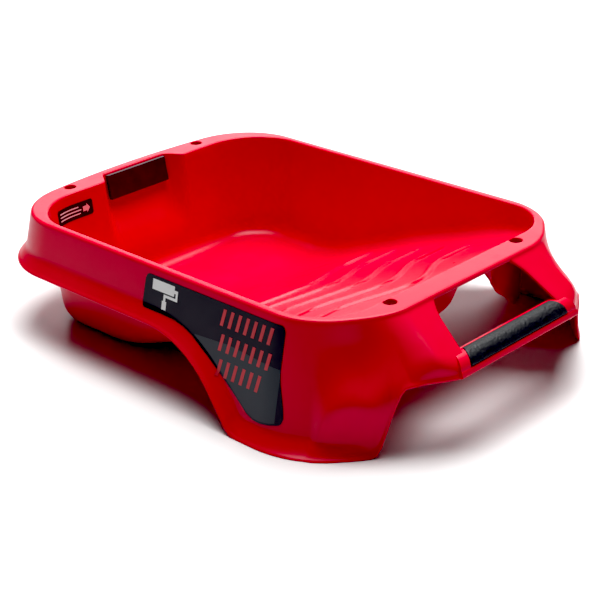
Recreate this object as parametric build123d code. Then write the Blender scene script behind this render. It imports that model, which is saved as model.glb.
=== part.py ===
from build123d import *
import math
import os

# Paint roller tray: one moulded tray body that carries a rubber grip, a brush magnet and two decals.
# Units are millimetres, +Z is up, +X points from the well end to the handle end.
# The outline is drawn about the centre of the rim, and the finished parts are moved at the end so
# that the origin is the middle of the footprint box, at the surface that the tray stands on.

# ---- driving dimensions ----
height = 109.0            # ground to the top of the rim
rim_length = 451.3        # outer length of the rim, ends bowed outward
rim_width = 320.0         # outer width of the rim
well_radius = 69.0        # plan radius of the rim's corners at the well end
handle_radius = 69.5      # plan radius of the rim's corners at the handle end
well_bow = 6.0            # how far the well end bows out
handle_bow = 8.9          # how far the handle end bows out
rim_thick = 4.0
wall = 3.0                # wall of the moulding
draft = 0.228             # outward slope of the skirt, mm per mm of height

lip_level = 62.0          # height of the skirt's lower edge along the well end and the sides
flare_reach = 15.0        # the skirt turns outward over this distance above its lower edge
flare_gain_high = 0.030   # outward throw of that turn at the raised lip, per mm squared
flare_gain_foot = 0.042   # the same where the skirt stands on the ground
drop_start = 5.0          # X where the side lip starts to fall
drop_radius = 130.0       # convex arc at the top of the fall
drop_angle = 42.0         # steepest slope of the fall, degrees
drop_foot_radius = 23.0   # concave arc where the lip meets the ground

bar_x = 264.6             # axis of the half-round handle bar
bar_z = 63.6
grip_radius = 12.4
grip_thick = 4.0
grip_half_low = 65.9      # half length of the grip along its outer lower edge
grip_half_high = 58.7     # half length along its inner upper edge
handle_reach = 276.8      # X of the handle's outer face
handle_lip = 60.0         # height of the handle's lower edge
handle_lip_x = 278.4      # X of the handle's lower lip
arm_slope = 1.35          # the arms' straight slope: mm outward per mm down
arm_top = 106.0           # height where that slope would meet the rim's outline
arm_fade = 36.0           # plan angle at which the arms' slope has faded out of the corner
foot_flare = 5.0          # outward turn of the corner's foot at the ground
# half width of the hand opening, and of the gap for the grip beyond it, at places along X
opening_edge = [
    (212.0, 40.0), (222.0, 48.0), (233.0, 57.2), (239.0, 59.5), (261.2, 64.0), (276.8, 66.4), (295.0, 74.0),
]

web_flat = 27.0           # half width of the web's flat middle, under the rim's outer edge
web_x = 224.6             # X of its outer face there
web_slant = 0.53          # the web's sides run back by this much, per mm of half width
web_half = 150.0          # half width that the web spans, under the arms and into the legs
# half width and height of points along the arch in the web
web_arch = [
    (18.0, 105.0), (31.0, 89.0), (44.0, 79.0), (55.0, 70.0), (64.0, 63.0), (92.0, 46.0), (140.0, 14.0),
    (152.0, 8.0),
]

pan_half_width = 151.7    # inner half width at the rim
pan_well_x = -195.5       # inner well end at the rim
pan_handle_x = 200.5      # inner handle end at the rim
pan_radius = 58.0         # inner corner radius at the rim
pan_foot_radius = 38.0    # inner corner radius at the floor
pan_draft = 0.09          # inward slope of the pan walls
floor_bevel = 10.0        # bevel between the pan's walls and its flat floor
ramp_start = -70.0        # X where the floor turns up into the ramp
ramp_knee = 40.0          # X where the ramp becomes less steep
ramp_knee_z = 45.0
ramp_end = 198.0          # X and height where the ramp meets the handle end wall
ramp_end_z = 95.0

rib_count = 5
rib_first = 8.0           # X of the straight ends of the first rib
rib_pitch = 31.0
rib_bow = 16.0            # how far the middle of the first rib bows to the handle
rib_bow_growth = 3.0      # added bow of each next rib
rib_half = 112.0          # half length of a rib
rib_bow_half = 76.0       # half length of the bowed middle
rib_width = 9.0
rib_height = 2.4

hole_radius = 5.6
hole_well_x = -210.8
hole_handle_x = 206.7
hole_y = 83.5

magnet_width = 76.0
magnet_height = 25.4
magnet_thick = 4.5
magnet_top = 108.0
magnet_face_x = -208.6    # X of the magnet's face at its top edge
magnet_tilt = 10.0        # lean of the magnet, degrees
pad_thick = 0.8
pocket_half = 39.0        # half width of the flat back of the magnet pocket
pocket_mouth_half = 53.0  # half width where the pocket opens into the pan

label_y = -94.0
label_z = 90.0
label_width = 46.0
label_height = 15.5
film = 0.4                # thickness of the decals
decal_left = -6.0         # side decal, seen square to the long side
decal_right = 163.0
decal_top = 102.0
decal_mid = 71.0          # lower edge of its left part
decal_low = 20.0          # lower edge at its right end

# ---- plan outline of the rim, and the skirt around it ----
half_length = rim_length / 2
half_width = rim_width / 2
well_centre_x = -(half_length - well_bow - well_radius)
handle_centre_x = half_length - handle_bow - handle_radius
well_chord = half_width - well_radius
handle_chord = half_width - handle_radius
well_end_radius = (well_chord**2 + well_bow**2) / (2 * well_bow) + well_radius
handle_end_radius = (handle_chord**2 + handle_bow**2) / (2 * handle_bow) + handle_radius
well_end_angle = math.degrees(math.asin(well_chord / (well_end_radius - well_radius)))
handle_end_angle = math.degrees(math.asin(handle_chord / (handle_end_radius - handle_radius)))


def outline(grow):
    """Rim outline, moved outward by grow, as one closed wire of arcs and lines."""
    a = math.radians(handle_end_angle)
    b = math.radians(well_end_angle)
    rh = handle_radius + grow
    rw = well_radius + grow
    tip_h = half_length + grow
    tip_w = -half_length - grow
    h1 = (handle_centre_x + rh * math.cos(a), handle_chord + rh * math.sin(a))
    half_a = (a + math.pi / 2) / 2
    half_b = (b + math.pi / 2) / 2
    hm = (handle_centre_x + rh * math.cos(half_a), handle_chord + rh * math.sin(half_a))
    h2 = (handle_centre_x, half_width + grow)
    w2 = (well_centre_x, half_width + grow)
    wm = (well_centre_x - rw * math.cos(half_b), well_chord + rw * math.sin(half_b))
    w1 = (well_centre_x - rw * math.cos(b), well_chord + rw * math.sin(b))

    def low(p):
        return (p[0], -p[1])

    edges = [
        Edge.make_three_point_arc(low(h1), (tip_h, 0), h1),
        Edge.make_three_point_arc(h1, hm, h2),
        Edge.make_line(h2, w2),
        Edge.make_three_point_arc(w2, wm, w1),
        Edge.make_three_point_arc(w1, (tip_w, 0), low(w1)),
        Edge.make_three_point_arc(low(w1), low(wm), low(w2)),
        Edge.make_line(low(w2), low(h2)),
        Edge.make_three_point_arc(low(h2), low(hm), low(h1)),
    ]
    return Wire(edges)


def clamp(value):
    return max(0.0, min(1.0, value))


def ease(value):
    t = clamp(value)
    return t * t * (3 - 2 * t)


def mix(a, b, t):
    return a + (b - a) * t


def soft_min(a, b, blend):
    t = clamp(0.5 + 0.5 * (b - a) / blend)
    return mix(b, a, t) - blend * t * (1 - t)


def side_lip(x):
    """Height and slope of the skirt's lower edge along a long side."""
    angle = math.radians(drop_angle)
    arc_end = drop_start + drop_radius * math.sin(angle)
    arc_fall = drop_radius * (1 - math.cos(angle))
    foot_rise = drop_foot_radius * (1 - math.cos(angle))
    line_fall = lip_level - arc_fall - foot_rise
    line_end = arc_end + line_fall / math.tan(angle)
    foot_end = line_end + drop_foot_radius * math.sin(angle)
    if x <= drop_start:
        return lip_level, 0.0
    if x <= arc_end:
        turn = math.asin((x - drop_start) / drop_radius)
        return lip_level - drop_radius * (1 - math.cos(turn)), turn
    if x <= line_end:
        return lip_level - arc_fall - (x - arc_end) * math.tan(angle), angle
    if x < foot_end:
        turn = math.asin((foot_end - x) / drop_foot_radius)
        return drop_foot_radius * (1 - math.cos(turn)), turn
    return 0.0, 0.0


def end_lip(turn):
    """Height of the lower edge round the handle end; turn is the plan angle from +X in degrees."""
    rise = ease((30.5 - turn) / 17.0)
    return handle_lip * (0.86 * rise + 0.14 * ease((26.0 - turn) / 18.0))


def arm_share(turn):
    """Share of the arm's straight slope in the sweep: whole across the arm, fading round the corner."""
    at_corner = 0.456
    if turn > handle_end_angle:
        return at_corner * max(0.0, (arm_fade - turn) / (arm_fade - handle_end_angle)) ** 2.1
    y = handle_end_radius * math.sin(math.radians(turn))
    return mix(at_corner, 1.0, clamp((104.1 - y) / 20.0) ** 0.85)


def end_base(turn):
    """X of the rim's outline at a plan angle."""
    a = math.radians(turn)
    if turn <= handle_end_angle:
        return handle_end_radius * math.cos(a) - (handle_end_radius - half_length)
    return handle_centre_x + handle_radius * math.cos(a)


def foot_share(turn):
    """Share of the long side's own section, which the corner turns into."""
    return ease((turn - 36.0) / 24.0)


def corner_sweep(z, turn):
    """Outward lean of the skirt round the corner, below the rim."""
    foot = foot_share(turn)
    above = max(0.0, 92.0 - z)
    return mix(0.15, draft, foot) * (height - rim_thick - z) + 0.0113 * above**2 * (1 - foot)


def flare_share(turn):
    """How much of the foot's outward turn is there: none under the arms."""
    return ease((turn - 24.0) / 14.0)


def reach_cap(turn):
    """Furthest throw of the skirt beyond the rim round the handle end."""
    at_corner = 41.0
    if turn > handle_end_angle:
        cap = 32.0 + 2.5 * abs(turn - 45) / 40 - foot_flare * flare_share(turn)
        cap = mix(cap, at_corner, ease((24.0 - turn) / (24.0 - handle_end_angle)))
        return mix(cap, 24.3, foot_share(turn))
    y = handle_end_radius * math.sin(math.radians(turn))
    return mix(at_corner, handle_reach - end_base(turn), ease((104.0 - y) / 44.0))


def side_throw(z, lip, slope):
    rise = max(0.0, flare_reach - (z - lip) * math.cos(slope))
    gain = mix(flare_gain_foot, flare_gain_high, lip / lip_level)
    return draft * (height - rim_thick - z) + gain * rise**2


def end_throw(z, turn):
    a = math.radians(turn)
    slope = 0.0
    if turn < arm_fade:
        slope = (half_length + arm_slope * max(0.0, arm_top - z) - end_base(turn)) / math.cos(a)
    sweep = mix(corner_sweep(z, turn), slope, arm_share(turn))
    foot = foot_share(turn)
    capped = soft_min(sweep, reach_cap(turn), mix(9.0, 1.0, foot))
    gain = mix(foot_flare * flare_share(turn) / flare_reach**2, flare_gain_foot, foot)
    flare = gain * max(0.0, flare_reach - (z - end_lip(turn))) ** 2
    lip_turn = mix(2.4, handle_lip_x - handle_reach, clamp((30 - turn) / 20)) * clamp((90 - turn) / 25)
    rise = clamp((end_lip(turn) + 6 - z) / 6)
    return capped + flare + lip_turn * rise**2


class Station:
    """One upright section of the skirt: where it stands on the rim and how it leans."""

    def __init__(self, x, y, angle, lip, throw):
        self.x = x
        self.y = y
        self.angle = angle
        self.lip = lip
        self.throw = throw

    def point(self, reach, z):
        return Vector(
            self.x + reach * math.cos(self.angle), self.y + reach * math.sin(self.angle), z
        )

    def curve(self, inset, top, levels):
        """Points down the section, moved inward from the outer face by inset."""
        points = []
        for i in range(levels + 1):
            t = i / levels
            z = mix(top, self.lip, t)
            lean = (self.throw(z - 0.05) - self.throw(z + 0.05)) / 0.1
            run = math.hypot(1.0, lean)
            square = math.sin(math.pi * t)
            back = inset * mix(1.0, 1 / run, square)
            points.append(self.point(self.throw(z) - back, z - inset * lean / run * square))
        return points

    def wire(self, inset, thick, top, levels):
        outer = self.curve(inset, top, levels)
        inner = self.curve(inset + thick, top, levels)
        return Wire([
            Edge.make_spline(outer),
            Edge.make_line(outer[-1], inner[-1]),
            Edge.make_spline(list(reversed(inner))),
            Edge.make_line(inner[0], outer[0]),
        ])


def well_station(turn):
    a = math.radians(turn)
    if turn < well_end_angle:
        x = -(well_end_radius * math.cos(a) - (well_end_radius - half_length))
        y = well_end_radius * math.sin(a)
    else:
        x = well_centre_x - well_radius * math.cos(a)
        y = well_chord + well_radius * math.sin(a)
    return Station(x, y, math.pi - a, lip_level, lambda z: side_throw(z, lip_level, 0.0))


def side_station(x):
    lip, slope = side_lip(x)
    return Station(x, half_width, math.pi / 2, lip, lambda z: side_throw(z, lip, slope))


def handle_station(turn):
    a = math.radians(turn)
    if turn < handle_end_angle:
        x = handle_end_radius * math.cos(a) - (handle_end_radius - half_length)
        y = handle_end_radius * math.sin(a)
    else:
        x = handle_centre_x + handle_radius * math.cos(a)
        y = handle_chord + handle_radius * math.sin(a)
    return Station(x, y, a, end_lip(turn), lambda z: end_throw(z, turn))


def skirt_stations():
    stations = [well_station(t) for t in (0.0, 3.8)]
    stations += [well_station(mix(well_end_angle, 90, i / 5)) for i in range(5)]
    stations += [side_station(x) for x in (well_centre_x, -75.0, 0.0)]
    stations += [side_station(mix(15.0, 138.0, i / 11)) for i in range(12)]
    stations += [handle_station(t) for t in (90, 78, 66, 55, 45, 38, 33, 29.5, 27, 24.5, 22, 19, 15)]
    stations += [handle_station(t) for t in (handle_end_angle, 9.3, 7.6, 6.0, 3.0, 0.0)]
    return stations


# ---- pieces of the tray body ----
def skirt_half():
    wires = [s.wire(0.0, wall, height - rim_thick + 1.0, 8) for s in skirt_stations()]
    return Solid.make_loft(wires, ruled=True)


def rim_plate():
    blank = Solid.extrude(Face(outline(0.6)), Vector(0, 0, rim_thick))
    blank = blank.moved(Location((0, 0, height - rim_thick)))
    return fillet(blank.edges().group_by(Axis.Z)[-1], 2.5)


def pan_wire(z, grow):
    """Plan outline of the pan's walls at a height; grow moves it outward."""
    inward = pan_draft * (height - z) - grow
    low_x = pan_well_x + inward
    high_x = pan_handle_x - inward
    width = 2 * (pan_half_width - inward)
    radius = mix(pan_foot_radius, pan_radius, z / height) + grow
    face = Face.make_rect(high_x - low_x, width).moved(Location(((low_x + high_x) / 2, 0, z)))
    return face.fillet_2d(radius, face.vertices()).outer_wire()


def ramp_profile(drop, back, top):
    """Side view of the pan's hollow: floor, ramp and end wall, up to top."""
    low_x = pan_well_x - 40
    floor = FilletPolyline(
        (low_x, wall - drop),
        (ramp_start, wall - drop),
        (ramp_knee, ramp_knee_z - drop),
        (ramp_end + back, ramp_end_z - drop),
        (ramp_end + back + 3.0, top),
        radius=[150, 300, 8],
    )
    lid = Polyline((ramp_end + back + 3.0, top), (low_x, top), (low_x, wall - drop))
    return make_face([*floor.edges(), *lid.edges()])


def pan_solid(grow, top):
    """Pan filled to a level: grow 0 is the hollow, grow = wall is the outside of the moulding."""
    floor = wall - grow
    foot = pan_wire(floor - 2.0, grow - floor_bevel * 1.15)
    shoulder = pan_wire(floor + floor_bevel * 1.3, grow)
    walls = Solid.make_loft([foot, shoulder, pan_wire(top, grow)], ruled=True)
    slab = extrude(Plane.XZ * ramp_profile(grow, grow, top), amount=rim_width, both=True)
    return (walls & slab).solid()


def rib_centre(index, y):
    """X of a rib's middle line: straight ends with a bow towards the handle between them."""
    bow = rib_bow + rib_bow_growth * index
    if abs(y) >= rib_bow_half:
        return rib_first + rib_pitch * index
    return rib_first + rib_pitch * index + bow * math.cos(math.pi * y / (2 * rib_bow_half)) ** 2


def rib(index):
    half = rib_width / 2
    ys = [-rib_bow_half + rib_bow_half * i / 6 for i in range(13)]
    front = [(rib_centre(index, y) + half, y) for y in ys]
    back = [(rib_centre(index, y) - half, y) for y in reversed(ys)]
    x_end = rib_centre(index, rib_half)
    edges = [
        Edge.make_line((x_end + half, -rib_half), front[0]),
        Edge.make_spline([Vector(p[0], p[1]) for p in front]),
        Edge.make_line(front[-1], (x_end + half, rib_half)),
        Edge.make_three_point_arc(
            (x_end + half, rib_half), (x_end, rib_half + half), (x_end - half, rib_half)
        ),
        Edge.make_line((x_end - half, rib_half), back[0]),
        Edge.make_spline([Vector(p[0], p[1]) for p in back]),
        Edge.make_line(back[-1], (x_end - half, -rib_half)),
        Edge.make_three_point_arc(
            (x_end - half, -rib_half), (x_end, -rib_half - half), (x_end + half, -rib_half)
        ),
    ]
    post = Solid.extrude(Face(Wire(edges)), Vector(0, 0, height))
    root = extrude(Plane.XZ * ramp_profile(1.0, 0.0, height), amount=rim_width, both=True)
    above = extrude(Plane.XZ * ramp_profile(-rib_height, 0.0, height + 1), amount=rim_width, both=True)
    return ((post & root) - above).solid()


def pocket_back(behind):
    """X at the magnet's top level of the plane that lies behind the magnet and its pad."""
    return magnet_face_x - (magnet_thick + pad_thick + behind) / math.cos(math.radians(magnet_tilt))


def pocket_cut():
    """Recess in the well end wall behind the magnet, deepest at the rim and fading out below."""
    tilt = math.tan(math.radians(magnet_tilt))
    back_x = pocket_back(0.0)
    top = height + 5
    foot_z = magnet_top - magnet_height - 30

    def section(z):
        back = back_x + (magnet_top - z) * tilt
        mouth = pan_well_x + pan_draft * (height - z) + 1.0
        front = max(mouth, back + 0.5)
        return Wire.make_polygon([
            Vector(back, -pocket_half, z), Vector(back, pocket_half, z),
            Vector(front, pocket_mouth_half, z), Vector(front, -pocket_mouth_half, z),
        ])

    return Solid.make_loft([section(foot_z), section(top)], ruled=True)


def pocket_wall():
    """Wall of the moulding round the back of the magnet recess."""
    tilt = math.tan(math.radians(magnet_tilt))
    back_x = pocket_back(wall)
    top = height - 1
    foot_z = magnet_top - magnet_height - 34

    def section(z):
        back = back_x + (magnet_top - z) * tilt
        mouth = pan_well_x + pan_draft * (height - z) - 1.0
        front = max(mouth, back + 1.0)
        return Wire.make_polygon([
            Vector(back, -pocket_half - wall, z), Vector(back, pocket_half + wall, z),
            Vector(front, pocket_mouth_half + wall, z), Vector(front, -pocket_mouth_half - wall, z),
        ])

    return Solid.make_loft([section(foot_z), section(top)], ruled=True)


def opening_cut():
    """Hand opening between the rim and the bar, and the gap for the grip, cut straight down."""
    low = 55.0
    side = [Vector(x, y, low) for x, y in opening_edge]
    other = [Vector(x, -y, low) for x, y in reversed(opening_edge)]
    face = Face(Wire.make_polygon(side + other))
    return Solid.extrude(face, Vector(0, 0, height - rim_thick - low))


def web_solid():
    """Wall that hangs from the rim behind the hand opening and closes the legs, with an arch in it."""
    back = web_x - web_slant * (web_half - web_flat)
    front = [(back, web_half), (web_x, web_flat), (web_x, -web_flat), (back, -web_half)]
    rear = [(x - wall, y) for x, y in reversed(front)]
    blank = Face(Wire.make_polygon([Vector(x, y, 0) for x, y in front + rear]))
    blank = Solid.extrude(blank, Vector(0, 0, height - rim_thick / 2))
    end_y = web_arch[-1][0]
    arch = [Vector(0, y, z) for y, z in web_arch] + [Vector(0, end_y, -5), Vector(0, -end_y, -5)]
    arch += [Vector(0, -y, z) for y, z in reversed(web_arch)]
    hole = Solid.extrude(Face(Wire.make_polygon(arch)), Vector(half_length + 20, 0, 0))
    pan_side = ramp_profile(wall / 2, wall / 2, height + 5)
    above_ramp = extrude(Plane.XZ * pan_side, amount=rim_width, both=True)
    return (blank - hole) - above_ramp


def half_round(outer, inner, start, end, half_length):
    """Length along Y of a half round: an arc band between two radii, angles from +X."""
    def at(radius, angle):
        a = math.radians(angle)
        return Vector(bar_x + radius * math.cos(a), 0, bar_z + radius * math.sin(a))

    middle = (start + end) / 2
    wire = Wire([
        Edge.make_three_point_arc(at(outer, start), at(outer, middle), at(outer, end)),
        Edge.make_line(at(outer, end), at(inner, end)),
        Edge.make_three_point_arc(at(inner, end), at(inner, middle), at(inner, start)),
        Edge.make_line(at(inner, start), at(outer, start)),
    ])
    band = Solid.extrude(Face(wire), Vector(0, 2 * half_length, 0))
    return band.moved(Location((0, -half_length, 0)))


def grip_solid():
    """Rubber half sleeve with ends that slant in towards the tray."""
    band = half_round(grip_radius, grip_radius - grip_thick, 8.0, 106.0, grip_half_low + 4)
    run = 276.8 - 261.5
    pieces = band
    for side in (1, -1):
        corners = [
            Vector(261.5 - run, side * (2 * grip_half_high - grip_half_low), 0),
            Vector(276.8 + run, side * (2 * grip_half_low - grip_half_high), 0),
            Vector(276.8 + run, side * 100, 0),
            Vector(261.5 - run, side * 100, 0),
        ]
        waste = Solid.extrude(Face(Wire.make_polygon(corners)), Vector(0, 0, height))
        pieces = pieces - waste
    return pieces.solid()


def bar_solid():
    """Channel-shaped bar under the grip, open downward."""
    half = grip_half_low + 12
    shell = half_round(grip_radius - grip_thick, grip_radius - grip_thick - wall, 0.0, 180.0, half)
    inner_x = bar_x - (grip_radius - grip_thick)
    inner = Solid.make_box(wall, 2 * half, bar_z - handle_lip)
    inner = inner.moved(Location((inner_x, -half, handle_lip)))
    outer = Solid.make_box(handle_lip_x - bar_x - 5.4, 2 * half, wall)
    outer = outer.moved(Location((bar_x + 5.4, -half, handle_lip)))
    post = Solid.make_box(wall, 2 * half, bar_z - handle_lip)
    post = post.moved(Location((bar_x + 5.4, -half, handle_lip)))
    return shell.fuse(inner, outer, post)


def tray_body(grip):
    skirt = skirt_half()
    body = skirt.fuse(skirt.mirror(Plane.XZ))
    body = body.fuse(rim_plate())
    body = body - opening_cut()
    body = body.fuse(*web_solid().solids())
    body = body.fuse(pan_solid(wall, height - 1.0))
    body = body.fuse(pocket_wall())
    body = body - pan_solid(0.0, height + 2.0)
    body = body - pocket_cut()
    body = body.fuse(bar_solid())
    for index in range(rib_count):
        body = body.fuse(rib(index))
    body = body - grip
    for x in (hole_well_x, hole_handle_x):
        for y in (-hole_y, hole_y):
            drill = Solid.make_cylinder(hole_radius, 14.0).moved(Location((x, y, height - 12.0)))
            body = body - drill
    return body


# ---- the other pieces ----
def leaning_block(width, tall, thick, top_x, top_z):
    """Flat block that stands on the leaning back of the magnet pocket."""
    block = Solid.make_box(thick, width, tall).moved(Location((-thick, -width / 2, -tall)))
    block = block.rotate(Axis.Y, -magnet_tilt)
    return block.moved(Location((top_x, 0, top_z)))


def magnet_block():
    block = leaning_block(magnet_width, magnet_height, magnet_thick, magnet_face_x, magnet_top)
    return block.fillet(1.0, block.edges())


def adhesive_pad():
    """Thin pad centred on the back of the magnet, 2 mm smaller at top and bottom and 3 mm at the ends."""
    tilt = math.radians(magnet_tilt)
    back_x = magnet_face_x - magnet_thick * math.cos(tilt) + 2 * math.sin(tilt)
    back_z = magnet_top - magnet_thick * math.sin(tilt) - 2 * math.cos(tilt)
    return leaning_block(magnet_width - 6, magnet_height - 4, pad_thick, back_x, back_z)


def decal_skin(reach):
    """Film on the outside of one long side, from the skirt's face out to reach."""
    stations = [s for s in skirt_stations() if s.x > -80 and s.y > 140]
    wires = [s.wire(-reach, reach, height - rim_thick + 1.0, 8) for s in stations]
    return Solid.make_loft(wires, ruled=True).mirror(Plane.XZ)


def side_decal():
    """Film trimmed to the decal's outline: level top, rounded corners, lower edge that follows the lip."""
    path = FilletPolyline(
        (decal_left, decal_top),
        (decal_left - 1.5, decal_mid),
        (decal_left + 51, decal_mid + 0.5),
        (decal_right - 24, decal_low - 5),
        (decal_right + 8.5, decal_low - 1),
        (decal_right, 60),
        (decal_right, decal_top - 1.5),
        radius=[5, 5, 60, 7, 5, 60, 5],
        close=True,
    )
    window = extrude(Plane.XZ.offset(rim_width / 4) * make_face(path.edges()), amount=rim_width / 2)
    return (decal_skin(film) & window).solid()


def instruction_label():
    """Film on the inside of the well end wall, following the wall into its corner."""
    outline_face = Face.make_rect(label_width, label_height)
    window = outline_face.fillet_2d(2.0, outline_face.vertices())
    window = window.rotate(Axis.X, 90).rotate(Axis.Z, 90)
    window = window.moved(Location((pan_well_x - 10, label_y, label_z)))
    block = Solid.extrude(window, Vector(60, 0, 0))
    return ((block & pan_solid(0.0, height)) - pan_solid(-film, height)).solid()


def main():
    os.makedirs("parts", exist_ok=True)
    grip = grip_solid()
    tray = tray_body(grip)
    box = tray.bounding_box()
    centre = Location((-(box.min.X + box.max.X) / 2, 0, 0))
    pieces = {
        "tray_body": tray,
        "handle_grip": grip,
        "brush_magnet": magnet_block(),
        "magnet_adhesive_pad": adhesive_pad(),
        "side_decal": side_decal(),
        "instruction_label": instruction_label(),
    }
    for name, piece in pieces.items():
        export_step(piece.moved(centre), f"parts/{name}.step")
        size = piece.bounding_box().size
        print(name, round(piece.volume), f"{size.X:.1f} x {size.Y:.1f} x {size.Z:.1f}")


main()
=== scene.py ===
import math

import bpy
import numpy as np
from mathutils import Matrix, Vector, noise


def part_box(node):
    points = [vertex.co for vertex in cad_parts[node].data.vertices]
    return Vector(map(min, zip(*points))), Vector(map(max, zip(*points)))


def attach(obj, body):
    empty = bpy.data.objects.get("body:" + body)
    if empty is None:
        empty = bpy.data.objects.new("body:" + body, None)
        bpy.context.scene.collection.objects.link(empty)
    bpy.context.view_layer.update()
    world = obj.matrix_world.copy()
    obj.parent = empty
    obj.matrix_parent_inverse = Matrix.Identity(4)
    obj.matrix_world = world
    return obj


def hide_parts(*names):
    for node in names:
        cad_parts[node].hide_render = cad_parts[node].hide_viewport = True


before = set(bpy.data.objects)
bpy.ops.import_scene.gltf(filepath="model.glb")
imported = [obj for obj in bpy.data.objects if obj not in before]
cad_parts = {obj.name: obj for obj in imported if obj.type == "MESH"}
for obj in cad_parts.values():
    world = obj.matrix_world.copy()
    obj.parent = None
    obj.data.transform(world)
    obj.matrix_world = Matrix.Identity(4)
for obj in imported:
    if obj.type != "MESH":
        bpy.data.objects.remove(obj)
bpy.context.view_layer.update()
scene = bpy.context.scene

# The shapes below are drawn in millimetres about the centre of the rim, and place() moves them to the row
# frame. REACH is how far the handle's outer edge lies from that centre.
REACH = 278.4
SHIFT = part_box("tray_body")[1].x * 1000 - REACH


def place(points):
    """Millimetres about the rim's centre to metres in the row frame."""
    p = np.asarray(points, float).reshape(-1, 3).copy()
    p[:, 0] += SHIFT
    return p * 0.001


# ---------------------------------------------------------------- dimensions
HEIGHT = 109.0                               # floor to rim
HALF_L, HALF_W = 225.65, 160.0               # half length and half width over the rim
R_WELL, R_HANDLE = 69.0, 69.5                # corner radii of the rim at its two ends
BOW_WELL, BOW_HANDLE = 6.0, 8.9              # how far the rim's ends bow outward
WALL = 3.0                                   # even wall of the moulding
DRAFT = 0.228                                # outward lean of the skirt, as a slope
LIP = 62.0                                   # height of the skirt's lower edge at the well end
ARM_LIP = 60.0                               # height of its lower edge across the handle
FLARE, KNEE = 15.0, 6.0                      # height of the flare above that edge, and of the bend into it
FLARE_OUT, FLARE_OUT_HIGH = 9.45, 6.75       # the flare's throw at the feet, and where the edge is high
FOOT_FLARE = 5.0                             # throw of the flare on the front of the feet
RIM_ROUND = 3.3                              # rounding of the rim's outer edge
ARM_SLOPE, ARM_TOP, ARM_FADE = 1.35, 106.0, 36.0  # the arms' slope, its top, and the turn where it fades
ARM_OUT = 276.8                              # the arms' outer face at the bar
SWEEP_CAP, ARM_CAP, FOOT_CAP = 32.0, 41.0, 24.3  # most the skirt sweeps out: corner, arm, side of a foot
BAR_X, BAR_Z = 264.6, 63.6                   # axis of the handle bar
PAN_W, PAN_WELL, PAN_HANDLE = 151.7, -195.5, 200.5    # the pan's top edge: half width, and x at its ends
PAN_R_WELL, PAN_R_HANDLE = 58.0, 50.0        # corner radii of the pan's top edge
PAN_DRAFT = 0.09                             # inward lean of the pan's walls, as a slope
PAN_ROUND = 2.2                              # rounding of the pan's top edge
FLOOR_ROUND = 16.0                           # fillet between the pan's walls and its floor
FLOOR_Z = 3.0                                # inside level of the well's floor
WEB_X, WEB_FLAT, WEB_SLANT = 224.6, 27.0, 0.53    # the web's place, its straight half width, then its slant

# Corner centres, radii of the bowed ends, and the turn in degrees where each end's bow meets its corner.
WELL_CX = -(HALF_L - BOW_WELL - R_WELL)
HANDLE_CX = HALF_L - BOW_HANDLE - R_HANDLE
WELL_CY, HANDLE_CY = HALF_W - R_WELL, HALF_W - R_HANDLE
WELL_END_R = (WELL_CY**2 + BOW_WELL**2) / (2 * BOW_WELL) + R_WELL
HANDLE_END_R = (HANDLE_CY**2 + BOW_HANDLE**2) / (2 * BOW_HANDLE) + R_HANDLE
WELL_TURN = math.degrees(math.asin(WELL_CY / (WELL_END_R - R_WELL)))
HANDLE_TURN = math.degrees(math.asin(HANDLE_CY / (HANDLE_END_R - R_HANDLE)))


def clamp(v):
    return max(0.0, min(1.0, v))


def ease(v):
    """Smooth step from 0 to 1."""
    t = clamp(v)
    return t * t * (3 - 2 * t)


def mix(a, b, t):
    return a + (b - a) * t


def soft_min(a, b, blend):
    """The smaller of two numbers, rounded over where they are within blend of each other."""
    t = clamp(0.5 + 0.5 * (b - a) / blend)
    return mix(b, a, t) - blend * t * (1 - t)


def height_on(line, at):
    """Height of a line of points at a place along it."""
    for (u0, z0), (u1, z1) in zip(line, line[1:]):
        if at <= u1:
            return mix(z0, z1, clamp((at - u0) / (u1 - u0)))
    return line[-1][1]


# ---------------------------------------------------------------- skirt
def side_lip(x):
    """Height and slope of the skirt's lower edge along a long side."""
    angle = math.radians(42.0)
    start, big, small = 5.0, 130.0, 23.0
    arc_end = start + big * math.sin(angle)
    arc_fall = big * (1 - math.cos(angle))
    foot_rise = small * (1 - math.cos(angle))
    line_end = arc_end + (LIP - arc_fall - foot_rise) / math.tan(angle)
    foot_end = line_end + small * math.sin(angle)
    if x <= start:
        return LIP, 0.0
    if x <= arc_end:
        turn = math.asin((x - start) / big)
        return LIP - big * (1 - math.cos(turn)), turn
    if x <= line_end:
        return LIP - arc_fall - (x - arc_end) * math.tan(angle), angle
    if x < foot_end:
        turn = math.asin((foot_end - x) / small)
        return small * (1 - math.cos(turn)), turn
    return 0.0, 0.0


def end_lip(turn):
    """Height of the skirt's lower edge round the handle end: high across the handle, down at the feet."""
    return ARM_LIP * (0.86 * ease((30.5 - turn) / 17.0) + 0.14 * ease((26.0 - turn) / 18.0))


def flare(depth, total):
    """Outward turn of the skirt near its lower edge: a tight concave bend, then a straight slope."""
    slope = total / (FLARE - KNEE / 2)
    if depth <= 0:
        return 0.0
    if depth < KNEE:
        return slope * depth * depth / (2 * KNEE)
    return slope * (depth - KNEE / 2)


def bead(above):
    """Small rolled edge along the skirt's lower lip."""
    return 0.55 * ease(1 - abs(above - 1.0) / 2.2)


def side_throw(z, lip, slope):
    """Throw of the skirt beyond the rim along the long sides and round the well end."""
    above = (z - lip) * math.cos(slope)
    total = mix(FLARE_OUT, FLARE_OUT_HIGH, lip / LIP)
    return DRAFT * (HEIGHT - 4 - z) + flare(FLARE - above, total) + bead(above)


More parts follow.
